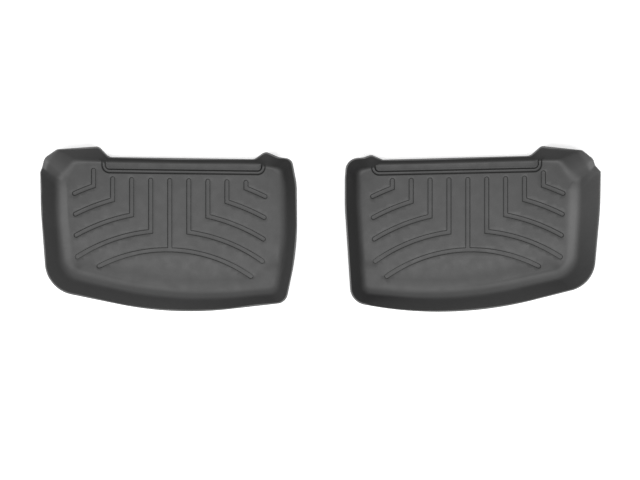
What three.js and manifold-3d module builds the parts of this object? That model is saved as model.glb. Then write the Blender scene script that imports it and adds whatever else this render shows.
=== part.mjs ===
// A pair of rear footwell liners, left and right. Each is one tray formed from thick elastomer sheet:
// a floor embossed with drain channels, a raised ledge behind a groove, and walls all round that rise
// to tall upstands at the two back corners and drop to a low lip between them.
//
// Millimetres. +X to the right of the pair, +Y towards the seat, +Z up. The origin is on the resting
// plane, midway between the liners. In each liner, u is the distance outward from that midplane and
// v is the same as Y.
import * as THREE from 'three';
import { mergeVertices } from 'three/addons/utils/BufferGeometryUtils.js';
import Module from 'manifold-3d';

const wasm = await Module();
wasm.setup();

// Sheet and floor
const SHEET = 3.2;
const EMBOSS = 1.6;
const FLOOR_UNDER = EMBOSS;
const FLOOR_TOP = FLOOR_UNDER + SHEET;
const LEAST_CORNER = 1;
const LEAST_TANGENT = 1;
const LEAST_TURN = 1e-4;
const EDGE_SHARE = 0.94;
const ARC_CHORD = 14;
const MAX_ARC_STEPS = 8;
const MIN_MITRE_COSINE = 0.5;
const FILLET_POINTS = [0.35, 0.7];
const MERGE_GAP = 1e-4;

// Drain channels: a spine with four stems on each side, each stem turning into an arc
const CHANNEL_HALF = 4;
const RIDGE_WRAP = 1.6;
const PITCH = 35;
const STEMS_PER_SIDE = 4;
const ARC_SHIFT = 6;
const ARC_CENTRE_V = -308;
const ARC_RADIUS = 270;
const ARM_STEPS = 5;
const CAP_STEPS = 5;
const CUT_CLEAR = 1;

// Ledge in the low back wall, and the groove that runs round it
const GROOVE_HALF = 4.75;
const GROOVE_CORNER = 11;
const GROOVE_CORNER_STEPS = 4;
const LEDGE_RISE = 3;
const LEDGE_DRAFT_GAP = 0.8;
const LEDGE_INTO_WALL = 1.5;

// Wall corners, in order round the tray. rim is the outer top edge [u, v, z] and foot is where the
// wall's inner face would meet the floor [u, v] without its fillet; r is each outline's corner radius
// and fillet is the length that the foot fillet takes from the floor.
const LEFT_WALL = [
  { rim: [503.5, 35, 52], rimR: 900, foot: [481, 35], footR: 900, fillet: 15 },
  { rim: [505.5, 103, 48], rimR: 3, foot: [480.5, 76], footR: 30, fillet: 14 },
  { rim: [504.4, 112, 36], rimR: 8, foot: [478, 93], footR: 14, fillet: 9 },
  { rim: [500.3, 129.3, 35], rimR: 14, foot: [470, 101], footR: 14, fillet: 8 },
  { rim: [475, 144, 50], rimR: 14, foot: [452, 127], footR: 14, fillet: 6 },
  { rim: [397.2, 148.6, 60], rimR: 9, foot: [402.5, 125], footR: 10, fillet: 4 },
  { rim: [385, 131.5, 22], rimR: 12, foot: [391, 123], footR: 12, fillet: 8 },
  { rim: [120, 127.6, 22], rimR: 16, foot: [110, 119.5], footR: 12, fillet: 8 },
  { rim: [98, 139.8, 58], rimR: 14, foot: [99, 116], footR: 12, fillet: 4 },
  { rim: [73, 129, 57], rimR: 25, foot: [85, 114.5], footR: 12, fillet: 6 },
  { rim: [50.5, 126.5, 55], rimR: 14, foot: [70.5, 111], footR: 14, fillet: 10 },
  { rim: [41.5, 80, 54], rimR: 120, foot: [64, 76], footR: 120, fillet: 15 },
  { rim: [40.9, -36, 51], rimR: 450, foot: [64.5, -34], footR: 300, fillet: 15 },
  { rim: [61.3, -133.5, 46], rimR: 20, foot: [79, -117], footR: 20, fillet: 12 },
  { rim: [264, -156.6, 46], rimR: 640, foot: [268.5, -133], footR: 760, fillet: 12 },
  { rim: [493.1, -109.5, 50], rimR: 60, foot: [471, -84], footR: 42, fillet: 13 },
];
const RIGHT_WALL = [
  { rim: [505.8, 40, 52], rimR: 900, foot: [473.5, 40], footR: 900, fillet: 10 },
  { rim: [507.3, 103.5, 48], rimR: 4, foot: [473.5, 73], footR: 30, fillet: 10.5 },
  { rim: [499.6, 115.9, 35], rimR: 5, foot: [474, 92], footR: 14, fillet: 9 },
  { rim: [496, 127.6, 35], rimR: 12, foot: [462, 98.5], footR: 14, fillet: 8 },
  { rim: [473.6, 142.2, 50], rimR: 9, foot: [441, 127.5], footR: 14, fillet: 6 },
  { rim: [397.5, 149.5, 60], rimR: 9, foot: [404, 127], footR: 10, fillet: 4 },
  { rim: [383, 133.8, 22], rimR: 14, foot: [391, 125], footR: 12, fillet: 8 },
  { rim: [114.5, 126.7, 22], rimR: 14, foot: [106.5, 118.5], footR: 12, fillet: 8 },
  { rim: [92, 134, 58], rimR: 14, foot: [97, 113.5], footR: 12, fillet: 4 },
  { rim: [79, 129, 57], rimR: 25, foot: [86, 112], footR: 12, fillet: 6 },
  { rim: [46.9, 126.2, 55], rimR: 23, foot: [67.5, 109], footR: 14, fillet: 10 },
  { rim: [44.4, 90, 54], rimR: 120, foot: [68.5, 76], footR: 120, fillet: 12 },
  { rim: [44.3, 40, 52], rimR: 450, foot: [69, 40], footR: 300, fillet: 12 },
  { rim: [55.7, -132.7, 46], rimR: 32, foot: [80, -116.5], footR: 16, fillet: 12 },
  { rim: [238.7, -165.7, 46], rimR: 705, foot: [248, -130.5], footR: 711, fillet: 12 },
  { rim: [493.4, -101.4, 50], rimR: 57, foot: [467, -83], footR: 48, fillet: 12 },
];

// The two liners. stemTops gives the far end of each stem, from the innermost to the outermost;
// groove gives the centre line of the groove at its inner end, two corners and outer end.
const LEFT = {
  name: 'left_liner',
  side: -1,
  wall: LEFT_WALL,
  spineU: 276,
  stemPitch: 35,
  stemTops: [90, 91, 92, 93, 93.5, 94, 95, 96.5, 112],
  groove: [[104, 117.5], [104, 103.2], [397.5, 106.8], [397.5, 123]],
};
const RIGHT = {
  name: 'right_liner',
  side: 1,
  wall: RIGHT_WALL,
  spineU: 271.6,
  stemPitch: 34.7,
  stemTops: [93.5, 93.8, 94.3, 94.8, 95.4, 96, 96.8, 97.8, 107.5],
  groove: [[98, 114.5], [98, 102.2], [404, 108.8], [404, 125]],
};
// How far the arm of each stem reaches sideways from the spine, by the stem's number from the spine.
const ARM_REACH = [0, 170, 172, 173.5, 175];
const SPINE_REACH = { inner: 149, outer: 130 };

const ELASTOMER = { color: 0x1f1f20, roughness: 0.62, metalness: 0 };

// ---- outlines ------------------------------------------------------------------------------------

function interiorTurn(before, at, after) {
  const arriving = at.clone().sub(before);
  const leaving = after.clone().sub(at);
  return Math.atan2(arriving.cross(leaving), arriving.dot(leaving));
}

// How far from each corner its rounding starts. Two roundings that would meet on one edge share it.
function tangentLengths(corners, radii) {
  const count = corners.length;
  const wanted = corners.map((at, i) => {
    const turn = interiorTurn(corners[(i + count - 1) % count], at, corners[(i + 1) % count]);
    return Math.max(radii[i] * Math.tan(Math.abs(turn) / 2), LEAST_TANGENT);
  });
  const shares = corners.map((at, i) => {
    const next = (i + 1) % count;
    return (EDGE_SHARE * at.distanceTo(corners[next])) / (wanted[i] + wanted[next]);
  });
  return wanted.map((length, i) => length * Math.min(1, shares[i], shares[(i + count - 1) % count]));
}

// The arc that rounds one corner, as points with equal steps. Each point also says how far along the
// arc it is, and what share of each neighbouring edge the arc takes.
function cornerArc(before, at, after, tangent, steps) {
  const turn = interiorTurn(before, at, after);
  const sweep = Math.max(Math.abs(turn), LEAST_TURN);
  const arcRadius = tangent / Math.tan(sweep / 2);
  const ahead = at.clone().sub(before).normalize();
  const inward = new THREE.Vector2(-ahead.y, ahead.x).multiplyScalar(turn < 0 ? -1 : 1);
  const start = at.clone().addScaledVector(ahead, -tangent);
  const inShare = tangent / at.distanceTo(before);
  const outShare = tangent / at.distanceTo(after);
  const points = [];
  for (let i = 0; i <= steps; i += 1) {
    const t = i / steps;
    const point = start.clone();
    point.addScaledVector(ahead, arcRadius * Math.sin(sweep * t));
    point.addScaledVector(inward, arcRadius * (1 - Math.cos(sweep * t)));
    points.push({ point, t, inShare, outShare });
  }
  return points;
}

function arcStepsOf(wall, i) {
  const ring = wall.map((corner) => new THREE.Vector2(corner.rim[0], corner.rim[1]));
  const count = ring.length;
  const turn = Math.abs(interiorTurn(ring[(i + count - 1) % count], ring[i], ring[(i + 1) % count]));
  const length = wall[i].rimR * turn;
  return Math.min(MAX_ARC_STEPS, Math.max(2, Math.round(length / ARC_CHORD)));
}

// One closed outline with rounded corners, as [u, v, value] points. value is what each corner carries
// (a height or a fillet length), blended along the outline.
function roundedOutline(corners, radii, values, stepsOf) {
  const count = corners.length;
  const tangents = tangentLengths(corners, radii);
  const outline = [];
  for (let i = 0; i < count; i += 1) {
    const last = (i + count - 1) % count;
    const next = (i + 1) % count;
    const arc = cornerArc(corners[last], corners[i], corners[next], tangents[i], stepsOf(i));
    const valueIn = THREE.MathUtils.lerp(values[i], values[last], arc[0].inShare);
    const valueOut = THREE.MathUtils.lerp(values[i], values[next], arc[0].outShare);
    for (const { point, t } of arc) {
      const value = (1 - t) ** 2 * valueIn + 2 * t * (1 - t) * values[i] + t ** 2 * valueOut;
      outline.push(new THREE.Vector3(point.x, point.y, value));
    }
  }
  return outline;
}

// Where the foot fillet leaves the floor: each foot corner moved inward by its fillet length.
function floorEdgeCorners(wall) {
  const feet = wall.map((corner) => new THREE.Vector2(...corner.foot));
  return feet.map((foot, i) => {
    const before = feet[(i + feet.length - 1) % feet.length];
    const after = feet[(i + 1) % feet.length];
    const arriving = foot.clone().sub(before).normalize();
    const leaving = after.clone().sub(foot).normalize();
    const bisector = arriving.clone().add(leaving).normalize();
    const inward = new THREE.Vector2(-bisector.y, bisector.x);
    const mitre = wall[i].fillet / Math.max(MIN_MITRE_COSINE, bisector.dot(arriving));
    return foot.clone().addScaledVector(inward, mitre);
  });
}

// ---- the tray ------------------------------------------------------------------------------------

function onFillet(start, control, end, t) {
  return start.clone().multiplyScalar((1 - t) ** 2)
    .addScaledVector(control, 2 * t * (1 - t))
    .addScaledVector(end, t ** 2);
}

// The wall's section at one point of the outline: from the floor, up the fillet and the inner face,
// over the cut edge, and down the outer face and its fillet to the underside of the floor.
function wallSection(rimPoint, footPoint, floorEdge) {
  const outward = new THREE.Vector3(rimPoint.x - footPoint.x, rimPoint.y - footPoint.y, 0);
  const run = outward.length();
  outward.normalize();
  const lean = Math.atan2(rimPoint.z - FLOOR_TOP, run - SHEET);
  const acrossSheet = outward.clone().multiplyScalar(Math.sin(lean));
  acrossSheet.z = -Math.cos(lean);

  const foot = new THREE.Vector3(footPoint.x, footPoint.y, FLOOR_TOP);
  const innerRim = rimPoint.clone().addScaledVector(acrossSheet, -SHEET);
  const fillet = footPoint.z;
  const upWall = innerRim.clone().sub(foot).normalize();
  const start = new THREE.Vector3(floorEdge.x, floorEdge.y, FLOOR_TOP);
  const wallStart = foot.clone().addScaledVector(upWall, fillet);

  const underShift = SHEET * Math.tan(lean / 2);
  const outerFoot = foot.clone().addScaledVector(outward, underShift);
  outerFoot.z = FLOOR_UNDER;
  const outerStart = start.clone();
  outerStart.z = FLOOR_UNDER;
  const outerWallStart = wallStart.clone().addScaledVector(acrossSheet, SHEET);

  const inner = FILLET_POINTS.map((t) => onFillet(start, foot, wallStart, t));
  const outer = FILLET_POINTS.map((t) => onFillet(outerStart, outerFoot, outerWallStart, t)).reverse();
  return [
    start, ...inner, wallStart, innerRim, rimPoint.clone(), outerWallStart, ...outer, outerStart,
  ];
}

// Closes a stack of equal rings into one body: the first ring is capped facing up, the last facing down.
function loft(rings) {
  const size = rings[0].length;
  const positions = rings.flat().flatMap((point) => point.toArray());
  const index = [];
  for (let r = 0; r + 1 < rings.length; r += 1) {
    for (let i = 0; i < size; i += 1) {
      const a = r * size + i;
      const b = r * size + ((i + 1) % size);
      index.push(a, a + size, b, b, a + size, b + size);
    }
  }
  const flat = (ring) => ring.map((point) => new THREE.Vector2(point.x, point.y));
  for (const [a, b, c] of THREE.ShapeUtils.triangulateShape(flat(rings[0]), [])) {
    index.push(a, b, c);
  }
  const base = (rings.length - 1) * size;
  for (const [a, b, c] of THREE.ShapeUtils.triangulateShape(flat(rings.at(-1)), [])) {
    index.push(base + a, base + c, base + b);
  }
  const geometry = new THREE.BufferGeometry();
  geometry.setAttribute('position', new THREE.Float32BufferAttribute(positions, 3));
  geometry.setIndex(index);
  return geometry;
}

function trayGeometry(liner) {
  const { wall, side } = liner;
  const stepsOf = (i) => arcStepsOf(wall, i);
  const pick = (key) => wall.map((corner) => corner[key]);
  const plan = (key) => wall.map((corner) => new THREE.Vector2(corner[key][0], corner[key][1]));
  const edgeRadii = wall.map((corner) => Math.max(corner.footR - corner.fillet, LEAST_CORNER));
  const heights = wall.map((corner) => corner.rim[2]);

  const rim = roundedOutline(plan('rim'), pick('rimR'), heights, stepsOf);
  const foot = roundedOutline(plan('foot'), pick('footR'), pick('fillet'), stepsOf);
  const edge = roundedOutline(floorEdgeCorners(wall), edgeRadii, pick('fillet'), stepsOf);
  const sections = rim.map((point, i) => wallSection(point, foot[i], edge[i]));
  if (side < 0) sections.reverse();
  const rings = sections[0].map((_, row) => sections.map((section) => {
    const point = section[row].clone();
    point.x *= side;
    return point;
  }));
  return loft(rings);
}

// ---- channels, groove and ledge ------------------------------------------------------------------

function halfCircle(centre, radius, fromAngle) {
  const points = [];
  for (let i = 1; i < CAP_STEPS; i += 1) {
    const angle = fromAngle - (Math.PI * i) / CAP_STEPS;
    points.push(new THREE.Vector2(centre.x + radius * Math.cos(angle), centre.y + radius * Math.sin(angle)));
  }
  return points;
}

// The outline of a band of constant width along a path, with mitred bends and round or square ends.
function strokeShape(path, half, round = true) {
  const left = [];
  const right = [];
  path.forEach((point, i) => {
    const before = path[Math.max(i - 1, 0)];
    const after = path[Math.min(i + 1, path.length - 1)];
    const arriving = i === 0 ? after.clone().sub(point) : point.clone().sub(before);
    const leaving = i === path.length - 1 ? arriving.clone() : after.clone().sub(point);
    const bisector = arriving.normalize().clone().add(leaving.normalize()).normalize();
    const normal = new THREE.Vector2(-bisector.y, bisector.x);
    const mitre = half / bisector.dot(arriving);
    left.push(point.clone().addScaledVector(normal, mitre));
    right.unshift(point.clone().addScaledVector(normal, -mitre));
  });
  if (!round) return new THREE.Shape([...left, ...right]);
  const last = path.at(-1);
  const first = path[0];
  const lastNormal = left.at(-1).clone().sub(last).angle();
  const firstNormal = right.at(-1).clone().sub(first).angle();
  return new THREE.Shape([
    ...left, ...halfCircle(last, half, lastNormal), ...right, ...halfCircle(first, half, firstNormal),
  ]);
}

function prism(shape, low, high) {
  const geometry = new THREE.ExtrudeGeometry(shape, { depth: high - low, bevelEnabled: false });
  geometry.translate(0, 0, low);
  return geometry;
}

function onArc(liner, radius, fromSpine) {
  const offset = fromSpine - ARC_SHIFT;
  const v = ARC_CENTRE_V + Math.sqrt(radius ** 2 - offset ** 2);
  return new THREE.Vector2(liner.side * (liner.spineU + fromSpine), v);
}

function armPath(liner, radius, from, to, steps) {
  const path = [];
  for (let i = 0; i <= steps; i += 1) {
    path.push(onArc(liner, radius, THREE.MathUtils.lerp(from, to, i / steps)));
  }
  return path;
}

// Every channel's centre line: four bent stems on each side, then the spine and the full lowest arc.
function channelPaths(liner) {
  const paths = [];
  for (let k = -STEMS_PER_SIDE; k <= STEMS_PER_SIDE; k += 1) {
    const top = liner.stemTops[k + STEMS_PER_SIDE];
    const across = k * liner.stemPitch;
    const stemEnd = new THREE.Vector2(liner.side * (liner.spineU + across), top);
    const radius = ARC_RADIUS + Math.abs(k) * PITCH;
    if (k === 0) {
      paths.push([stemEnd, onArc(liner, radius, 0)]);
      paths.push(armPath(liner, radius, -SPINE_REACH.inner, SPINE_REACH.outer, 2 * ARM_STEPS));
    } else {
      const reach = Math.sign(k) * ARM_REACH[Math.abs(k)];
      const arm = armPath(liner, radius, across, reach, ARM_STEPS - Math.abs(k) + 1);
      paths.push([stemEnd, ...arm]);
    }
  }
  return paths;
}

// The groove's centre line: up from the inner end, round two corners and along the back.
function groovePath(liner) {
  const points = liner.groove.map(([u, v]) => new THREE.Vector2(liner.side * u, v));
  const path = [points[0]];
  for (const i of [1, 2]) {
    const turn = interiorTurn(points[i - 1], points[i], points[i + 1]);
    const tangent = GROOVE_CORNER * Math.tan(Math.abs(turn) / 2);
    const arc = cornerArc(points[i - 1], points[i], points[i + 1], tangent, GROOVE_CORNER_STEPS);
    path.push(...arc.map(({ point }) => point));
  }
  path.push(points[3]);
  return path;
}

// The ledge fills the space between the groove and the low back wall.
function ledgeShape(liner, gap) {
  const backCorners = [liner.wall[6], liner.wall[7]];
  const outline = strokeShape(groovePath(liner), GROOVE_HALF + gap, false).getPoints();
  const half = outline.length / 2;
  const leftSide = outline.slice(0, half);
  const rightSide = outline.slice(half).reverse();
  const inner = liner.side > 0 ? leftSide : rightSide;
  const front = inner.slice(1, -1);
  const back = backCorners.map(({ foot: [u, v] }, i) => {
    const end = i === 0 ? front.at(-1) : front[0];
    return new THREE.Vector2(end.x, v + LEDGE_INTO_WALL);
  });
  return new THREE.Shape([...front, ...back]);
}

// ---- solids --------------------------------------------------------------------------------------

function toManifold(geometry) {
  const bare = geometry.clone();
  bare.deleteAttribute('normal');
  bare.deleteAttribute('uv');
  const merged = mergeVertices(bare, MERGE_GAP);
  const vertProperties = new Float32Array(merged.attributes.position.array);
  const triVerts = new Uint32Array(merged.index.array);
  return new wasm.Manifold(new wasm.Mesh({ numProp: 3, vertProperties, triVerts }));
}

function toGeometry(solid) {
  const mesh = solid.getMesh();
  const geometry = new THREE.BufferGeometry();
  geometry.setAttribute('position', new THREE.Float32BufferAttribute(mesh.vertProperties, 3));
  geometry.setIndex(Array.from(mesh.triVerts));
  geometry.computeVertexNormals();
  return geometry;
}

function formLiner(liner) {
  const bands = channelPaths(liner).map((path) => ({ path, half: CHANNEL_HALF, round: true }));
  bands.push({ path: groovePath(liner), half: GROOVE_HALF, round: false });

  let solid = toManifold(trayGeometry(liner));
  const ledge = prism(ledgeShape(liner, 0), FLOOR_UNDER + CUT_CLEAR, FLOOR_TOP + LEDGE_RISE);
  solid = solid.add(toManifold(ledge));
  for (const { path, half, round } of bands) {
    const ridge = prism(strokeShape(path, half + RIDGE_WRAP, round), 0, FLOOR_UNDER + CUT_CLEAR);
    solid = solid.add(toManifold(ridge));
  }
  for (const { path, half, round } of bands) {
    const cut = prism(strokeShape(path, half, round), FLOOR_TOP - EMBOSS, FLOOR_TOP + CUT_CLEAR);
    solid = solid.subtract(toManifold(cut));
  }
  const pocket = prism(ledgeShape(liner, RIDGE_WRAP + LEDGE_DRAFT_GAP), -CUT_CLEAR, FLOOR_UNDER + LEDGE_RISE);
  solid = solid.subtract(toManifold(pocket));
  return toGeometry(solid);
}

const mats = new THREE.Group();
for (const liner of [LEFT, RIGHT]) {
  const mesh = new THREE.Mesh(formLiner(liner), new THREE.MeshStandardMaterial(ELASTOMER));
  mesh.name = liner.name;
  mats.add(mesh);
}

export default mats;
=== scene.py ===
"""A pair of rear footwell liners, formed from thick black elastomer sheet, seen from straight above.

Shapes are worked out in millimetres in each liner's own plan: u is the distance outward from the
midplane between the liners, v is the frame's Y and z is up. They are turned into metres, and the left
liner is mirrored, only when its mesh is made.
"""
import math
from collections import namedtuple

import bpy
import numpy as np
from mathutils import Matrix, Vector, noise
from mathutils.bvhtree import BVHTree
from mathutils.geometry import barycentric_transform, delaunay_2d_cdt


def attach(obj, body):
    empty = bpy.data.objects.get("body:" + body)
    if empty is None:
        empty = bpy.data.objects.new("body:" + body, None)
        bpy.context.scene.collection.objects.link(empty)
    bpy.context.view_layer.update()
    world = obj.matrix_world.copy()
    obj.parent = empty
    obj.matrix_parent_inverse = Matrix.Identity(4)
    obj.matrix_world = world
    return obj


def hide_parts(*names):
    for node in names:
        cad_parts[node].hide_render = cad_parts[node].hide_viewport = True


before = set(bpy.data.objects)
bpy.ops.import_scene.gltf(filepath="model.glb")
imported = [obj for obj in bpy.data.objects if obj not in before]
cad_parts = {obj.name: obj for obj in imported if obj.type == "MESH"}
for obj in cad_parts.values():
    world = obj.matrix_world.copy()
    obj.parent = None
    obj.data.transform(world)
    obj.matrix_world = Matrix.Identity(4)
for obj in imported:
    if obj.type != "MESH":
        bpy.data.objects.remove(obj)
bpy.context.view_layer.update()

MM = 0.001

# ---- sizes, in millimetres -----------------------------------------------------------------------

SHEET = 3.2

# Lowest that the top face lies, where channels cross the reservoir
THINNEST = 1.4

# How far the ridges under the channels and the groove stand out below the floor
EMBOSS = 1.6
FLOOR_UNDER = EMBOSS
FLOOR_TOP = FLOOR_UNDER + SHEET

# Drain channels. PITCH is the step from one arc's radius to the next.
CHANNEL_HALF = 4.0
PITCH = 35.0
STEMS_PER_SIDE = 4
ARC_SHIFT = 6.0
ARC_CENTRE_V = -308.0
ARC_RADIUS = 270.0
ARM_REACH = (0.0, 170.0, 172.0, 173.5, 175.0)
SPINE_REACH = (149.0, 130.0)
SPINE_CLEAR = 1.0
# Each step of a channel's side: how far it is from the channel's edge line, and what part of the depth.
CHANNEL_SIDE = (
    (0.75, 0.0), (0.4, 0.05), (0.1, 0.25), (-0.2, 0.6), (-0.55, 0.88), (-0.95, 0.98), (-1.4, 1.0),
)
CHANNEL_DEPTH = 2.9
GROOVE_DEPTH = 3.2
RIDGE_WRAP = 1.6
CHANNEL_STEP = 5.0
CAP_STEPS = 12

# Groove and ledge
GROOVE_CORNER = 11.0
# Rows of points along the groove: how far to the left of its centre line each one runs
GROOVE_ROWS = (
    -6.2, -5.3, -4.6, -4.0, -3.4, -2.8, -2.1, -1.4, 0.0,
    1.3, 1.9, 2.5, 3.1, 3.7, 4.3, 5.1, 6.2,
)
GROOVE_FLAT = 1.6
GROOVE_EDGE = 4.6
GROOVE_STEP = 3.0
LEDGE_RISE = 3.0
LEDGE_FILLET = 5.0
LEDGE_FILLET_START = 6.0
LEAST_FILLET = 1e-3
LEDGE_REACH = 60.0
GROOVE_FADE = 7.0

# Fineness of the mesh
ARC_STEP = 2.6
EDGE_STEP = 4.0
LEAST_ARC_STEPS = 5
APRON_ROWS = 4
FILLET_ROWS = 7
WALL_ROWS = 11
FLOOR_GRID = 7.0
GRID_CLEAR = 6.5

# Painted shade, as factors on the sheet's colour (1 is as made): what the creases take away, and the
# ledge's darker top
CHANNEL_PAINTED_SHADE = 0.25
GROOVE_PAINTED_SHADE = 0.55
LEDGE_EDGE_PAINTED_SHADE = 0.75
LEDGE_TOP_PAINTED_SHADE = 0.78

# Where up the foot fillet its painted highlight starts to turn into the wall's painted light and shade
PAINTED_HIGHLIGHT_TURN = 0.2

# Lip below the cut edge: its slope against the wall's, and half of the stretch they are blended over
LIP_SLOPE = 0.25
LIP_BLEND = 0.1

# Cut edge of the sheet
TRIM_ROUND = 0.55
TRIM_STEPS = 3

# Unevenness of a formed sheet
WAVE_HEIGHT = 0.22
WAVE_LENGTH = 70.0

# Shallow reservoir along the front: depth, and where its two slopes are, from the front floor edge
POOL_DEPTH = 1.6
POOL_FRONT = (9.0, 27.0)
POOL_BACK = (30.0, 72.0)
POOL_EDGE_V = -80.0

# Limits that keep outlines and lookups sound. Turns are in radians, and shares and mitres have no unit.
LEAST_TANGENT = 1.0
LEAST_RADIUS = 1.0
LEAST_TURN = 1e-4
LEAST_MITRE = 0.5
EDGE_SHARE = 0.94
CDT_EPSILON = 1e-4
OFF_THE_ROWS = 1e-3

# ---- the sheet's look, with scales per metre -----------------------------------------------------

SHEET_COLOUR = (0.0455, 0.0455, 0.0455, 1)
CUT_COLOUR = (0.11, 0.11, 0.11, 1)

# The part of a noise's values that is spread over a range
NOISE_SPREAD = (0.3, 0.7)

# Faint clouds in the colour
CLOUD_SCALE = 16.0
CLOUD_DETAIL = 3
CLOUD_RANGE = (0.94, 1.06)

# Uneven sheen
SHEEN_SCALE = 60.0
SHEEN_DETAIL = 4
ROUGHNESS_RANGE = (0.48, 0.57)

# Haircell grain: folds between cells and finer grain over them, with bump distances in metres
CELL_SCALE = 520.0
FOLD_STRENGTH = 0.35
FOLD_DISTANCE = 0.0002
GRAIN_SCALE = 1400.0
GRAIN_DETAIL = 3
GRAIN_STRENGTH = 0.3
GRAIN_DISTANCE = 0.00015

# ---- stage, light and camera, in metres, watts and millimetres of lens ---------------------------

STAGE_HALF = 12.0
STAGE_DROP = 0.0005
STAGE_COLOUR = (0.9, 0.9, 0.9, 1)
STAGE_GLOW = 0.5
STAGE_ROUGHNESS = 0.9
STAGE_SPECULAR = 0.1
WHITE = (1, 1, 1, 1)
WORLD_STRENGTH = 0.34

# Each light: name, place, size, power and the place it points at
LIGHTS = (
    ("left_box", (-0.95, -0.55, 2.5), (0.6, 1.6), 31, (-0.3, 0, 0)),
    ("right_box", (0.9, -0.75, 2.4), (0.6, 1.4), 34, (0.3, 0, 0)),
    ("left_fill", (-2.2, 0, 1.3), (1.6, 1.2), 6, (0, 0, 0)),
    ("back_fill", (0, 2.2, 1.3), (2.2, 1.2), 9, (0, 0, 0)),
)
CAMERA_PLACE = (0, -0.020, 2.6)
CAMERA_LENS = 79.5
CAMERA_SENSOR = 36

# ---- the liners, in millimetres ------------------------------------------------------------------

# One corner of the wall: outer top edge (u, v, z) and its radius, inner foot (u, v) and its radius, length
# of the foot fillet, length and rise of the apron in front of it, width of the lip below the cut edge, and
# the painted light along the foot and up the wall, as factors on the colour (1 is as made): mostly a
# painted highlight along the foot fillets, and painted light and shade on the walls.
Corner = namedtuple("Corner", "rim rim_radius foot foot_radius fillet apron rise lip foot_tone wall_tone")

# Wall corners in order round the tray, from the outer side over the back to the inner side and the front.
LEFT_WALL = (
    Corner((503.5, 35, 52), 900, (481, 35), 900, 15, 3.5, 0.5, 0, 1.95, 1.15),
    Corner((505.5, 103, 48), 3, (480.5, 76), 30, 14, 4, 0.5, 0, 1.75, 1.1),
    Corner((504.4, 112, 36), 8, (478, 93), 14, 9, 6, 0.3, 6, 1.3, 1.55),
    Corner((500.3, 129.3, 35), 14, (470, 101), 14, 8, 5, 0, 7, 1.2, 1.9),
    Corner((475, 144, 50), 14, (452, 127), 14, 6, 5, 0, 0, 1.3, 1.6),
    Corner((397.2, 148.6, 60), 9, (402.5, 125), 10, 4, 3, 0, 0, 1.1, 1.25),
    Corner((385, 131.5, 22), 12, (391, 123), 12, 8, 3, 0, 0, 0.9, 0.85),
    Corner((120, 127.6, 22), 16, (110, 119.5), 12, 8, 3, 0, 0, 0.9, 0.85),
    Corner((98, 139.8, 58), 14, (99, 116), 12, 4, 3, 0, 0, 1, 1.2),
    Corner((73, 129, 57), 25, (85, 114.5), 12, 6, 3, 0, 0, 1, 0.85),
    Corner((50.5, 126.5, 55), 14, (70.5, 111), 14, 10, 4, 0, 0, 0.95, 0.7),
    Corner((41.5, 80, 54), 120, (64, 76), 120, 15, 4, 0, 0, 0.94, 0.8),
    Corner((40.9, -36, 51), 450, (64.5, -34), 300, 15, 4, 0, 0, 0.96, 1.15),
    Corner((61.3, -133.5, 46), 20, (79, -117), 20, 12, 5, 0, 0, 1, 1.25),
    Corner((264, -156.6, 46), 640, (268.5, -133), 760, 12, 5, 0, 0, 1, 1.35),
    Corner((493.1, -109.5, 50), 60, (471, -84), 42, 13, 10, 1, 0, 1.3, 1.2),
)
RIGHT_WALL = (
    Corner((505.8, 40, 52), 900, (473.5, 40), 900, 10, 13, 2, 0, 2.2, 1.68),
    Corner((507.3, 103.5, 48), 4, (473.5, 73), 30, 10.5, 10, 1.6, 0, 2, 1.65),
    Corner((499.6, 115.9, 35), 5, (474, 92), 14, 9, 6, 0.4, 11, 1.3, 1.78),
    Corner((496, 127.6, 35), 12, (462, 98.5), 14, 8, 5, 0, 12, 1.2, 1.78),
    Corner((473.6, 142.2, 50), 9, (441, 127.5), 14, 6, 5, 0, 4, 1.2, 1.3),
    Corner((397.5, 149.5, 60), 9, (404, 127), 10, 4, 3, 0, 0, 1.1, 1.2),
    Corner((383, 133.8, 22), 14, (391, 125), 12, 8, 3, 0, 0, 0.9, 0.85),
    Corner((114.5, 126.7, 22), 14, (106.5, 118.5), 12, 8, 3, 0, 0, 0.9, 0.85),
    Corner((92, 134, 58), 14, (97, 113.5), 12, 4, 3, 0, 0, 1, 1.1),
    Corner((79, 129, 57), 25, (86, 112), 12, 6, 3, 0, 0, 1, 0.8),
    Corner((46.9, 126.2, 55), 23, (67.5, 109), 14, 10, 4, 0, 0, 1, 0.7),
    Corner((44.4, 90, 54), 120, (68.5, 76), 120, 12, 4, 0, 0, 0.96, 0.73),
    Corner((44.3, 40, 52), 450, (69, 40), 300, 12, 4, 0, 0, 0.94, 0.7),
    Corner((55.7, -132.7, 46), 32, (80, -116.5), 16, 12, 5, 0, 0, 0.95, 0.68),
    Corner((238.7, -165.7, 46), 705, (248, -130.5), 711, 12, 5, 0, 0, 1, 1.2),
    Corner((493.4, -101.4, 50), 57, (467, -83), 48, 12, 8, 1.2, 0, 1.5, 1.0),
)

# side is the sign of the frame's X, spine is the middle channel's u, stem_tops holds the v where each
# channel's stem ends, from the inner side outward, and groove holds its corners as (u, v).
LINERS = (
    {
        "node": "left_liner",
        "body": "left",
        "side": -1,
        "wall": LEFT_WALL,
        "spine": 276.0,
        "stem_pitch": 35.0,
        "stem_tops": (90, 91, 92, 93, 93.5, 94, 95, 96.5, 112),
        "groove": ((104, 124), (104, 103.2), (397.5, 106.8), (397.5, 130)),
    },
    {
        "node": "right_liner",
        "body": "right",
        "side": 1,
        "wall": RIGHT_WALL,
        "spine": 271.6,
        "stem_pitch": 34.7,
        "stem_tops": (93.5, 93.8, 94.3, 94.8, 95.4, 96, 96.8, 97.8, 107.5),
        "groove": ((98, 121), (98, 102.2), (404, 108.8), (404, 132)),
    },
)


# ---- outlines ------------------------------------------------------------------------------------

def unit(v):
    return v / np.linalg.norm(v)


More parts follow.
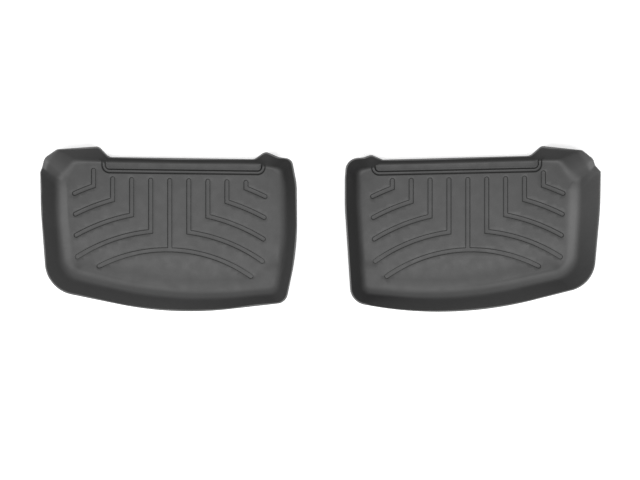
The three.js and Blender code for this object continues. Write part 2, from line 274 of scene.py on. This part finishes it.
def left_of(v):
    return np.array((-v[1], v[0]))


def turn_at(before, at, after):
    arriving, leaving = at - before, after - at
    cross = arriving[0] * leaving[1] - arriving[1] * leaving[0]
    return math.atan2(cross, float(arriving @ leaving))


def neighbours(items, i):
    return items[i - 1], items[i], items[(i + 1) % len(items)]


def tangent_lengths(corners, radii):
    """How far from each corner its rounding starts. Two roundings that would meet share their edge."""
    count = len(corners)
    wanted = []
    for i in range(count):
        turn = abs(turn_at(*neighbours(corners, i)))
        wanted.append(max(radii[i] * math.tan(turn / 2), LEAST_TANGENT))
    shares = []
    for i in range(count):
        after = (i + 1) % count
        length = np.linalg.norm(corners[after] - corners[i])
        shares.append(EDGE_SHARE * length / (wanted[i] + wanted[after]))
    return [wanted[i] * min(1.0, shares[i], shares[i - 1]) for i in range(count)]


def corner_arc(before, at, after, tangent, steps):
    """The arc that rounds one corner."""
    turn = turn_at(before, at, after)
    sweep = max(abs(turn), LEAST_TURN)
    radius = tangent / math.tan(sweep / 2)
    ahead = unit(at - before)
    inward = left_of(ahead) * (-1 if turn < 0 else 1)
    angles = sweep * np.linspace(0, 1, steps + 1)[:, None]
    return at - ahead * tangent + ahead * radius * np.sin(angles) + inward * radius * (1 - np.cos(angles))


def rounded_outline(corners, radii, values, arc_steps, edge_steps):
    """A closed outline with rounded corners, as rows of u, v and the values blended between corners."""
    count = len(corners)
    tangents = tangent_lengths(corners, radii)
    rows = []
    for i in range(count):
        before, at, after = neighbours(corners, i)
        value_before, value, value_after = neighbours(values, i)
        into = value + (value_before - value) * tangents[i] / np.linalg.norm(at - before)
        out = value + (value_after - value) * tangents[i] / np.linalg.norm(after - at)
        t = np.linspace(0, 1, arc_steps[i] + 1)[:, None]
        blended = (1 - t) ** 2 * into + 2 * t * (1 - t) * value + t ** 2 * out
        rows.append(np.hstack((corner_arc(before, at, after, tangents[i], arc_steps[i]), blended)))
    outline = []
    for i in range(count):
        outline.append(rows[i])
        start, end = rows[i][-1], rows[(i + 1) % count][0]
        t = np.linspace(0, 1, edge_steps[i] + 1)[1:-1, None]
        outline.append(start + (end - start) * t)
    return np.vstack(outline)


def floor_edge_corners(feet, fillets):
    """The foot corners moved inward by each corner's fillet length."""
    moved = []
    for i in range(len(feet)):
        before, at, after = neighbours(feet, i)
        arriving, leaving = unit(at - before), unit(after - at)
        bisector = unit(arriving + leaving)
        mitre = fillets[i] / max(LEAST_MITRE, float(bisector @ arriving))
        moved.append(at + left_of(bisector) * mitre)
    return moved


def outline_steps(corners, radii):
    """How many steps each rounding and each straight stretch of the outlines takes."""
    tangents = tangent_lengths(corners, radii)
    arcs, edges = [], []
    for i in range(len(corners)):
        after = (i + 1) % len(corners)
        turn = abs(turn_at(*neighbours(corners, i)))
        length = 2 * tangents[i] if turn < LEAST_TURN else tangents[i] / math.tan(turn / 2) * turn
        arcs.append(max(LEAST_ARC_STEPS, math.ceil(length / ARC_STEP)))
        straight = np.linalg.norm(corners[after] - corners[i]) - tangents[i] - tangents[after]
        edges.append(max(2, math.ceil(straight / EDGE_STEP)))
    return arcs, edges


# ---- the tray: rows of points from the floor up each face of the wall ------------------------------

def bezier(start, control, end, t):
    return (1 - t) ** 2 * start + 2 * t * (1 - t) * control + t ** 2 * end


def with_z(plan, z):
    return np.column_stack((plan, np.broadcast_to(z, len(plan))))


def smooth(t):
    t = np.clip(t, 0, 1)
    return t * t * (3 - 2 * t)


def painted_shade_profile(share):
    """How much painted shade a slope gets where it has covered this share of its fall: most half way down.
    """
    return 4 * share * (1 - share)


def wall_outlines(wall):
    """The closed outlines that the wall is built between, with the values that change along them.

    They are the rim (u, v, z), the lip's width, the foot (u, v, fillet, rise and both painted light
    factors), the edge of the flat floor (u, v) and the apron's edge (u, v). All have the same number of
    points.
    """
    rims, rim_radii, feet, foot_radii, fillets, aprons, rises, lips, foot_painted_lights, wall_painted_lights = zip(*wall)
    rim_plan = [np.array(rim[:2], float) for rim in rims]
    foot_plan = [np.array(foot, float) for foot in feet]
    arc_steps, edge_steps = outline_steps(rim_plan, rim_radii)

    def outline(corners, radii, *values):
        columns = np.column_stack(values).astype(float)
        return rounded_outline(corners, radii, columns, arc_steps, edge_steps)

    def moved_in(lengths):
        radii = [max(r - f, LEAST_RADIUS) for r, f in zip(foot_radii, lengths)]
        return outline(floor_edge_corners(foot_plan, lengths), radii, lengths)[:, :2]

    rim = outline(rim_plan, rim_radii, [rim[2] for rim in rims], lips)
    foot = outline(foot_plan, foot_radii, fillets, rises, foot_painted_lights, wall_painted_lights)
    reach = [f + a for f, a in zip(fillets, aprons)]
    return rim[:, :3], rim[:, 3], foot, moved_in(fillets), moved_in(reach)


def tray_rows(wall):
    """Both faces of the wall as rows of u, v, z and painted shading, from the floor up, and the cut edge's
    rows.
    """
    rim, lip, foot, edge, apron = wall_outlines(wall)
    rise = foot[:, 3]
    floor = FLOOR_TOP + rise
    outward = rim[:, :2] - foot[:, :2]
    run = np.linalg.norm(outward, axis=1)
    outward /= run[:, None]
    lean = np.arctan2(rim[:, 2] - floor, run - SHEET)
    across = np.column_stack((outward * np.sin(lean)[:, None], -np.cos(lean)))

    inner_rim = rim - across * SHEET
    inner_foot = with_z(foot[:, :2], floor)
    up = inner_rim - inner_foot
    up /= np.linalg.norm(up, axis=1)[:, None]
    inner_top = inner_foot + up * foot[:, 2:3]
    inner_edge = with_z(edge, floor)

    outer_foot = with_z(foot[:, :2] + outward * (SHEET * np.tan(lean / 2))[:, None], floor - SHEET)
    outer_edge = with_z(edge, floor - SHEET)
    outer_top = inner_top + across * SHEET

    share = lip / np.linalg.norm(inner_rim[:, :2] - inner_top[:, :2], axis=1)
    shared = apron, rise, up, share, foot[:, 4], foot[:, 5]
    inner = face_rows(FLOOR_TOP, inner_edge, inner_foot, inner_top, inner_rim, *shared)
    outer = face_rows(FLOOR_UNDER, outer_edge, outer_foot, outer_top, rim, *shared)
    return inner, outer, trim_rows(inner_rim, rim, up, across)


def lip_bend(t, share):
    """How high the wall is at t of its run, as a part of its height: the lip's share of it is flatter."""
    below = 1 / (1 - share * (1 - LIP_SLOPE))
    at = 1 - share
    bend = smooth((t - at + LIP_BLEND) / (2 * LIP_BLEND))
    return (1 - bend) * t * below + bend * (1 - (1 - t) * below * LIP_SLOPE)


def face_rows(level, edge, foot, top, rim, apron, rise, up, lip_share, foot_painted_light, wall_painted_light):
    """One face's rows: the apron, the foot fillet, then the wall to just short of the cut edge."""
    rows = []
    for t in np.linspace(0, 1, APRON_ROWS, endpoint=False):
        row = with_z(apron + (edge[:, :2] - apron) * t, level + rise * smooth(t))
        # The last column is painted light: the foot's painted highlight fades in across the apron, turns
        # into the wall's painted light and shade up the fillet, and holds up the wall.
        rows.append(np.column_stack((row, 1 + (foot_painted_light - 1) * smooth(t))))
    for t in np.linspace(0, 1, FILLET_ROWS, endpoint=False):
        tone = foot_painted_light + (wall_painted_light - foot_painted_light) * smooth((t - PAINTED_HIGHLIGHT_TURN) / (1 - PAINTED_HIGHLIGHT_TURN))
        rows.append(np.column_stack((bezier(edge, foot, top, t), tone)))
    end = rim - up * TRIM_ROUND
    for t in np.linspace(0, 1, WALL_ROWS):
        row = top + (end - top) * t
        height = np.where(lip_share > 0, lip_bend(t, lip_share), t)
        row[:, 2] = top[:, 2] + (end[:, 2] - top[:, 2]) * height
        rows.append(np.column_stack((row, wall_painted_light)))
    return rows


def trim_rows(inner_rim, rim, up, across):
    """The rows that round both corners of the cut edge, from the inner face over to the outer one."""
    rows = []
    for centre, turn in ((inner_rim + across * TRIM_ROUND, -1), (rim - across * TRIM_ROUND, 1)):
        centre = centre - up * TRIM_ROUND
        angles = np.linspace(0, math.pi / 2, TRIM_STEPS + 1)
        angles = angles[1:] if turn < 0 else (math.pi / 2 - angles)[:-1]
        for a in angles:
            rows.append(centre + TRIM_ROUND * (up * math.sin(a) + across * turn * math.cos(a)))
    return rows


# ---- channels ------------------------------------------------------------------------------------

def spaced(start, end, step):
    count = max(1, math.ceil(np.linalg.norm(end - start) / step))
    return [start + (end - start) * i / count for i in range(count)]


def on_arc(liner, radius, from_spine):
    v = ARC_CENTRE_V + math.sqrt(radius ** 2 - (from_spine - ARC_SHIFT) ** 2)
    return np.array((liner["spine"] + from_spine, v))


def arm(liner, radius, start, end):
    count = math.ceil(abs(end - start) / CHANNEL_STEP)
    return [on_arc(liner, radius, start + (end - start) * i / count) for i in range(count + 1)]


def bent_stems(liner):
    """The centre line of each bent channel, from the stem's far end to the arm's."""
    paths = []
    for k in range(-STEMS_PER_SIDE, STEMS_PER_SIDE + 1):
        if k == 0:
            continue
        radius = ARC_RADIUS + abs(k) * PITCH
        across = k * liner["stem_pitch"]
        top = np.array((liner["spine"] + across, liner["stem_tops"][k + STEMS_PER_SIDE] - CHANNEL_HALF))
        elbow = on_arc(liner, radius, across)
        reach = math.copysign(ARM_REACH[abs(k)], k)
        paths.append(spaced(top, elbow, CHANNEL_STEP) + arm(liner, radius, across, reach))
    return paths


def cap(centre, ahead, half):
    """The half circle round a channel's end, from its left side to its right."""
    angles = np.linspace(math.pi / 2, -math.pi / 2, CAP_STEPS + 1)[1:-1]
    side = left_of(ahead)
    return [centre + half * (ahead * math.cos(a) + side * math.sin(a)) for a in angles]


def offset_line(path, distance):
    """A line beside a path, to its left by distance, with mitred bends."""
    line = []
    for i, point in enumerate(path):
        arriving = unit(point - path[i - 1]) if i else unit(path[1] - point)
        leaving = unit(path[i + 1] - point) if i + 1 < len(path) else arriving
        bisector = unit(arriving + leaving)
        line.append(point + left_of(bisector) * distance / float(bisector @ arriving))
    return line


def stroke(path, half):
    """The closed outline of a band along a path, with round ends."""
    ahead, behind = unit(path[-1] - path[-2]), unit(path[0] - path[1])
    left, right = offset_line(path, half), offset_line(path, -half)
    return left + cap(path[-1], ahead, half) + right[::-1] + cap(path[0], behind, half)


def spine_top(liner):
    return np.array((liner["spine"], liner["stem_tops"][STEMS_PER_SIDE] - CHANNEL_HALF))


def spine_outline(liner, half):
    """The closed outline of the spine and the full lowest arc, which meet as an upside-down T."""
    inner, outer = SPINE_REACH
    low = arm(liner, ARC_RADIUS, -inner, outer)
    upper, lower = offset_line(low, half), offset_line(low, -half)
    spine = liner["spine"]
    top = spine_top(liner)
    stem_sides = []
    for side in (-1, 1):
        u = spine + side * half
        offset = u - spine - ARC_SHIFT
        v = ARC_CENTRE_V + math.sqrt((ARC_RADIUS + half) ** 2 - offset ** 2)
        end = np.array((u, top[1]))
        stem_sides.append(spaced(np.array((u, v)), end, CHANNEL_STEP) + [end])
    before = [p for p in upper if p[0] < spine - half - SPINE_CLEAR]
    after = [p for p in upper if p[0] > spine + half + SPINE_CLEAR]
    up, down = stem_sides[0], stem_sides[1][::-1]
    start = cap(low[0], unit(low[0] - low[1]), half)
    end = cap(low[-1], unit(low[-1] - low[-2]), half)
    return before + up + cap(top, np.array((0.0, 1.0)), half) + down + after + end + lower[::-1] + start


def channel_loops(liner, under):
    """Every channel's nested outlines, each with its depth and painted shade."""
    wrap = RIDGE_WRAP if under else 0.0
    depth = EMBOSS if under else CHANNEL_DEPTH
    loops = []
    for beyond, share in CHANNEL_SIDE:
        half = CHANNEL_HALF + wrap + beyond
        outlines = [stroke(path, half) for path in bent_stems(liner)]
        outlines.append(spine_outline(liner, half))
        # Painted shade: the channel's sides are darkened most half way down their fall.
        tone = 1 - CHANNEL_PAINTED_SHADE * painted_shade_profile(share)
        loops += [(np.array(outline), -depth * share, tone) for outline in outlines]
    return loops


# ---- groove and ledge ----------------------------------------------------------------------------

def groove_path(liner):
    points = [np.array(p, float) for p in liner["groove"]]
    path = []
    last = points[0]
    for i in (1, 2):
        turn = abs(turn_at(*points[i - 1:i + 2]))
        tangent = GROOVE_CORNER * math.tan(turn / 2)
        arc = corner_arc(*points[i - 1:i + 2], tangent, CAP_STEPS)
        path += spaced(last, arc[0], GROOVE_STEP) + list(arc[:-1])
        last = arc[-1]
    return path + spaced(last, points[3], GROOVE_STEP) + [points[3]]


def distance_to_line(points, line):
    """How far each point is from a line, in plan."""
    nearest = np.full(len(points), np.inf)
    for a, b in zip(line[:-1], line[1:]):
        along = b - a
        t = np.clip((points - a) @ along / (along @ along), 0, 1)
        gap = np.linalg.norm(points - a - t[:, None] * along, axis=1)
        nearest = np.minimum(nearest, gap)
    return nearest


def inside(points, loop):
    """Which points lie inside a closed loop."""
    crossings = np.zeros(len(points), int)
    for a, b in zip(loop, np.roll(loop, -1, axis=0)):
        spans = (a[1] > points[:, 1]) != (b[1] > points[:, 1])
        if spans.any():
            at = a[0] + (points[:, 1] - a[1]) / (b[1] - a[1]) * (b[0] - a[0])
            crossings += spans & (points[:, 0] < at)
    return crossings % 2 == 1


def groove_and_ledge(liner, plan, base, under):
    """The face's height with the groove cut in and the ledge raised behind it, and its painted shade
    there.
    """
    path = groove_path(liner)
    gap = distance_to_line(plan, path)
    far = np.array((0.0, LEDGE_REACH))
    behind = inside(plan, np.array(path + [path[-1] + far, path[0] + far]))
    wrap = RIDGE_WRAP if under else 0.0
    level = FLOOR_UNDER if under else FLOOR_TOP
    groove = EMBOSS if under else GROOVE_DEPTH
    side = smooth((gap - GROOVE_FLAT - wrap) / (GROOVE_EDGE - GROOVE_FLAT))
    on_floor = 1 - smooth((base - level) / GROOVE_FADE)
    cut = base - groove * (1 - side) * on_floor

    lift = (groove + LEDGE_RISE) * side - groove
    raised = level + np.maximum(lift, 0)
    soft = np.clip(LEDGE_FILLET * smooth((gap - GROOVE_EDGE) / LEDGE_FILLET_START), LEAST_FILLET, None)
    overlap = np.clip(soft - np.abs(base - raised), 0, None) / soft
    merged = np.maximum(base, raised) + overlap ** 2 * soft / 4
    stepped = np.where(lift > 0, merged, base + lift * on_floor)

    # Painted shade: darker down the groove's slopes and the ledge's edge, and over the ledge's top.
    tone = 1 - np.where(behind, LEDGE_EDGE_PAINTED_SHADE, GROOVE_PAINTED_SHADE) * painted_shade_profile(side) * on_floor
    tone *= 1 - (1 - LEDGE_TOP_PAINTED_SHADE) * side * on_floor * behind
    return np.where(behind, stepped, cut), tone


# ---- one face of a liner -------------------------------------------------------------------------

class Plan:
    """Points in plan, and the lines between them that the mesh has to follow."""

    def __init__(self):
        self.points = []
        self.edges = []
        self.heights = []
        self.depths = []
        self.painted_shadings = []

    def add(self, points, heights, depth=0.0, painted_shadings=None, closed=None):
        """Adds points with their heights (None: look them up) and, if closed says how, joins them."""
        first = len(self.points)
        count = len(points)
        self.points += [Vector((float(p[0]), float(p[1]))) for p in points]
        self.heights += [None] * count if heights is None else [float(h) for h in heights]
        self.depths += [depth] * count
        self.painted_shadings += [1.0] * count if painted_shadings is None else [float(t) for t in painted_shadings]
        if closed is not None:
            self.edges += [(first + i, first + i + 1) for i in range(count - 1)]
        if closed:
            self.edges.append((first + count - 1, first))
        return range(first, first + count)


class TrayHeights:
    """Looks up a face's height at any place in plan, before its channels, groove and ledge."""

    def __init__(self, rows, level):
        count = len(rows[0])
        self.level = level
        self.points = [Vector(p[:3]) for row in rows for p in row]
        self.triangles = []
        for r in range(len(rows) - 1):
            for i in range(count):
                a, b = r * count + i, r * count + (i + 1) % count
                self.triangles += [(a, b, a + count), (b, b + count, a + count)]
        self.flat = [Vector((p.x, p.y, 0)) for p in self.points]
        self.tree = BVHTree.FromPolygons(self.flat, self.triangles)

    def at(self, u, v):
        place = Vector((u, v, 0))
        hit, _, index, distance = self.tree.find_nearest(place)
        if distance > OFF_THE_ROWS:
            return self.level
        corners = self.triangles[index]
        ends = [self.flat[c] for c in corners] + [self.points[c] for c in corners]
        return barycentric_transform(hit, *ends).z


def grid_points(liner, rows):
    """An even grid over the flat floor, clear of the channels and the groove."""
    edge = rows[0][:, :2]
    low, high = edge.min(axis=0), edge.max(axis=0)
    us = np.arange(low[0] + FLOOR_GRID, high[0], FLOOR_GRID)
    vs = np.arange(low[1] + FLOOR_GRID, high[1], FLOOR_GRID)
    grid = np.array([(u, v) for v in vs for u in us])
    grid = grid[inside(grid, edge)]
    grid = grid[distance_to_line(grid, list(edge) + [edge[0]]) > FLOOR_GRID / 2]
    spine = [spine_top(liner), on_arc(liner, ARC_RADIUS, 0)]
    low_arc = arm(liner, ARC_RADIUS, -SPINE_REACH[0], SPINE_REACH[1])
    for path in bent_stems(liner) + [spine, low_arc, groove_path(liner)]:
        grid = grid[distance_to_line(grid, path) > GRID_CLEAR]
    return grid


def pool(plan, edge):
    """How much lower the floor is because of the reservoir that follows the front edge."""
    front = edge[edge[:, 1] < POOL_EDGE_V]
    front = front[np.argsort(front[:, 0])]
    gap = distance_to_line(plan, list(front))
    fall = smooth((gap - POOL_FRONT[0]) / (POOL_FRONT[1] - POOL_FRONT[0]))
    back = smooth((gap - POOL_BACK[0]) / (POOL_BACK[1] - POOL_BACK[0]))
    return POOL_DEPTH * (fall - back)


def waves(plan):
    """The slight unevenness of a formed sheet."""
    return [WAVE_HEIGHT * noise.noise(Vector((u / WAVE_LENGTH, v / WAVE_LENGTH, 0))) for u, v in plan]


def face_plan(liner, rows, level, under):
    """The points and lines of one face in plan, and which points its last row has."""
    plan = Plan()
    for row in rows:
        last_row = plan.add(row[:, :2], row[:, 2], painted_shadings=row[:, 3], closed=True)
    for loop, depth, tone in channel_loops(liner, under):
        count = len(loop)
        plan.add(loop, [level] * count, depth, [tone] * count, closed=True)
    path = groove_path(liner)
    for distance in GROOVE_ROWS:
        plan.add(offset_line(path, distance), None, closed=False)
    plan.add(grid_points(liner, rows), None)
    return plan, last_row


def face_mesh(liner, rows, under):
    """One face as vertices and triangles, and the vertices of its last row, in order."""
    level = FLOOR_UNDER if under else FLOOR_TOP
    plan, last_row = face_plan(liner, rows, level, under)
    found = delaunay_2d_cdt(plan.points, plan.edges, [], 1, CDT_EPSILON)
    places, _, triangles, sources = found[:4]
    lookup = TrayHeights(rows, level)
    base, depths, painted_shadings = [], [], []
    index_of = {}
    for i, (place, source) in enumerate(zip(places, sources)):
        for s in source:
            index_of[s] = i
        known = next((s for s in source if plan.heights[s] is not None), None)
        base.append(lookup.at(*place) if known is None else plan.heights[known])
        depths.append(0.0 if known is None else plan.depths[known])
        painted_shadings.append(1.0 if known is None else plan.painted_shadings[known])
    flat = np.array([tuple(p) for p in places])
    base = np.array(base)
    z, tone = groove_and_ledge(liner, flat, base, under)
    z += np.array(depths) + np.array(waves(flat))
    z -= pool(flat, rows[APRON_ROWS][:, :2]) * (1 - smooth((base - level) / GROOVE_FADE))
    z = np.maximum(z, 0 if under else THINNEST)
    vertices = np.column_stack((flat, z, np.array(painted_shadings) * tone))
    return vertices, [tuple(t) for t in triangles], [index_of[s] for s in last_row]


# ---- a liner's mesh ------------------------------------------------------------------------------

def liner_mesh(liner):
    """The whole liner as one closed mesh: both faces of the sheet, joined round the cut edge."""
    inner_rows, outer_rows, trim = tray_rows(liner["wall"])
    top, top_faces, top_ring = face_mesh(liner, inner_rows, under=False)
    bottom, bottom_faces, bottom_ring = face_mesh(liner, outer_rows, under=True)
    count = len(top_ring)
    shift = len(top)
    vertices = np.vstack((top, bottom))
    faces = list(top_faces) + [tuple(shift + i for i in reversed(f)) for f in bottom_faces]
    rings = [top_ring]
    for row in trim:
        first = len(vertices)
        flat = row[:, :2]
        vertices = np.vstack((vertices, np.column_stack((flat, row[:, 2] + waves(flat), np.ones(count)))))
        rings.append(list(range(first, first + count)))
    rings.append([shift + i for i in bottom_ring])
    for a, b in zip(rings[:-1], rings[1:]):
        for i in range(count):
            j = (i + 1) % count
            faces.append((a[i], b[i], b[j], a[j]))
    vertices[:, 0] *= liner["side"]
    if liner["side"] < 0:
        faces = [tuple(reversed(f)) for f in faces]
    cut_edge = np.zeros(len(vertices))
    cut_edge[shift + len(bottom):] = 1
    return vertices[:, :3] * MM, faces, cut_edge, vertices[:, 3]


def make_liner(liner, material):
    vertices, faces, cut_edge, tone = liner_mesh(liner)
    name = liner["node"] + "_sheet"
    mesh = bpy.data.meshes.new(name)
    mesh.from_pydata(vertices.tolist(), [], faces)
    mesh.validate()
    mesh.polygons.foreach_set("use_smooth", [True] * len(mesh.polygons))
    mesh.attributes.new("cut_edge", "FLOAT", "POINT").data.foreach_set("value", cut_edge)
    # Painted light and shade, which the material multiplies into the sheet's colour.
    mesh.attributes.new("tone", "FLOAT", "POINT").data.foreach_set("value", tone)
    mesh.materials.append(material)
    piece = bpy.data.objects.new(name, mesh)
    bpy.context.collection.objects.link(piece)
    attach(piece, liner["body"])
    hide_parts(liner["node"])
    return piece


# ---- materials -----------------------------------------------------------------------------------

def noise_at(tree, place, scale, detail):
    """A noise texture's value at each place."""
    texture = tree.nodes.new("ShaderNodeTexNoise")
    texture.inputs["Scale"].default_value = scale
    texture.inputs["Detail"].default_value = detail
    tree.links.new(place, texture.inputs["Vector"])
    return texture.outputs["Fac"]


def ranged(tree, value, low, high):
    """A noise's value spread over a range."""
    spread = tree.nodes.new("ShaderNodeMapRange")
    spread.inputs["From Min"].default_value = NOISE_SPREAD[0]
    spread.inputs["From Max"].default_value = NOISE_SPREAD[1]
    spread.inputs["To Min"].default_value = low
    spread.inputs["To Max"].default_value = high
    tree.links.new(value, spread.inputs["Value"])
    return spread.outputs["Result"]


def attribute(tree, name):
    reader = tree.nodes.new("ShaderNodeAttribute")
    reader.attribute_name = name
    return reader.outputs["Fac"]


def scaled(tree, colour, factor):
    product = tree.nodes.new("ShaderNodeVectorMath")
    product.operation = "SCALE"
    tree.links.new(colour, product.inputs[0])
    tree.links.new(factor, product.inputs["Scale"])
    return product.outputs["Vector"]


def bump(tree, height, strength, distance):
    """A bump node that a height drives."""
    bumps = tree.nodes.new("ShaderNodeBump")
    bumps.inputs["Strength"].default_value = strength
    bumps.inputs["Distance"].default_value = distance
    tree.links.new(height, bumps.inputs["Height"])
    return bumps


def sheet_colour(tree, place):
    """Black, paler along the cut edge, scaled by the painted light and shade, with faint clouds."""
    colour = tree.nodes.new("ShaderNodeMix")
    colour.data_type = "RGBA"
    colour.inputs["A"].default_value = SHEET_COLOUR
    colour.inputs["B"].default_value = CUT_COLOUR
    tree.links.new(attribute(tree, "cut_edge"), colour.inputs["Factor"])
    # Painted light and shade: the colour is scaled by the painted shading attribute.
    shaded_colour = scaled(tree, colour.outputs["Result"], attribute(tree, "tone"))
    clouds = noise_at(tree, place, CLOUD_SCALE, CLOUD_DETAIL)
    return scaled(tree, shaded_colour, ranged(tree, clouds, *CLOUD_RANGE))


def haircell_grain(tree, place):
    """The folds between the grain's cells, with finer grain over them."""
    cells = tree.nodes.new("ShaderNodeTexVoronoi")
    cells.feature = "DISTANCE_TO_EDGE"
    cells.inputs["Scale"].default_value = CELL_SCALE
    tree.links.new(place, cells.inputs["Vector"])
    folds = bump(tree, cells.outputs["Distance"], FOLD_STRENGTH, FOLD_DISTANCE)
    fine = noise_at(tree, place, GRAIN_SCALE, GRAIN_DETAIL)
    grain = bump(tree, fine, GRAIN_STRENGTH, GRAIN_DISTANCE)
    tree.links.new(folds.outputs["Normal"], grain.inputs["Normal"])
    return grain.outputs["Normal"]


def elastomer():
    """Satin black elastomer with a haircell grain."""
    material = bpy.data.materials.new("elastomer_sheet")
    material.use_nodes = True
    tree = material.node_tree
    shader = tree.nodes["Principled BSDF"]
    place = tree.nodes.new("ShaderNodeTexCoord").outputs["Object"]
    tree.links.new(sheet_colour(tree, place), shader.inputs["Base Color"])
    sheen = noise_at(tree, place, SHEEN_SCALE, SHEEN_DETAIL)
    tree.links.new(ranged(tree, sheen, *ROUGHNESS_RANGE), shader.inputs["Roughness"])
    tree.links.new(haircell_grain(tree, place), shader.inputs["Normal"])
    return material


# ---- stage, light and camera ---------------------------------------------------------------------

def make_floor():
    mesh = bpy.data.meshes.new("stage_floor")
    corners = [(STAGE_HALF * x, STAGE_HALF * y, 0) for x, y in ((-1, -1), (1, -1), (1, 1), (-1, 1))]
    mesh.from_pydata(corners, [], [(0, 1, 2, 3)])
    floor = bpy.data.objects.new("stage_floor", mesh)
    bpy.context.collection.objects.link(floor)
    floor.location.z = -STAGE_DROP
    material = bpy.data.materials.new("stage_paper")
    material.use_nodes = True
    shader = material.node_tree.nodes["Principled BSDF"]
    shader.inputs["Base Color"].default_value = STAGE_COLOUR
    shader.inputs["Emission Color"].default_value = WHITE
    shader.inputs["Emission Strength"].default_value = STAGE_GLOW
    shader.inputs["Roughness"].default_value = STAGE_ROUGHNESS
    shader.inputs["Specular IOR Level"].default_value = STAGE_SPECULAR
    mesh.materials.append(material)


def add_area(name, location, size, energy, target):
    data = bpy.data.lights.new(name, "AREA")
    data.shape = "RECTANGLE"
    data.size, data.size_y = size
    data.energy = energy
    light = bpy.data.objects.new(name, data)
    light.location = location
    light.rotation_mode = "QUATERNION"
    light.rotation_quaternion = (Vector(target) - Vector(location)).to_track_quat("-Z", "Y")
    bpy.context.collection.objects.link(light)


def make_lights():
    world = bpy.data.worlds.new("studio")
    bpy.context.scene.world = world
    world.use_nodes = True
    background = world.node_tree.nodes["Background"]
    background.inputs["Color"].default_value = WHITE
    background.inputs["Strength"].default_value = WORLD_STRENGTH
    for light in LIGHTS:
        add_area(*light)


def make_camera():
    data = bpy.data.cameras.new("camera")
    data.lens = CAMERA_LENS
    data.sensor_width = CAMERA_SENSOR
    camera = bpy.data.objects.new("camera", data)
    camera.location = CAMERA_PLACE
    bpy.context.collection.objects.link(camera)
    bpy.context.scene.camera = camera


sheet_material = elastomer()
for liner in LINERS:
    make_liner(liner, sheet_material)
make_floor()
make_lights()
make_camera()
bpy.context.scene.view_settings.view_transform = "Standard"
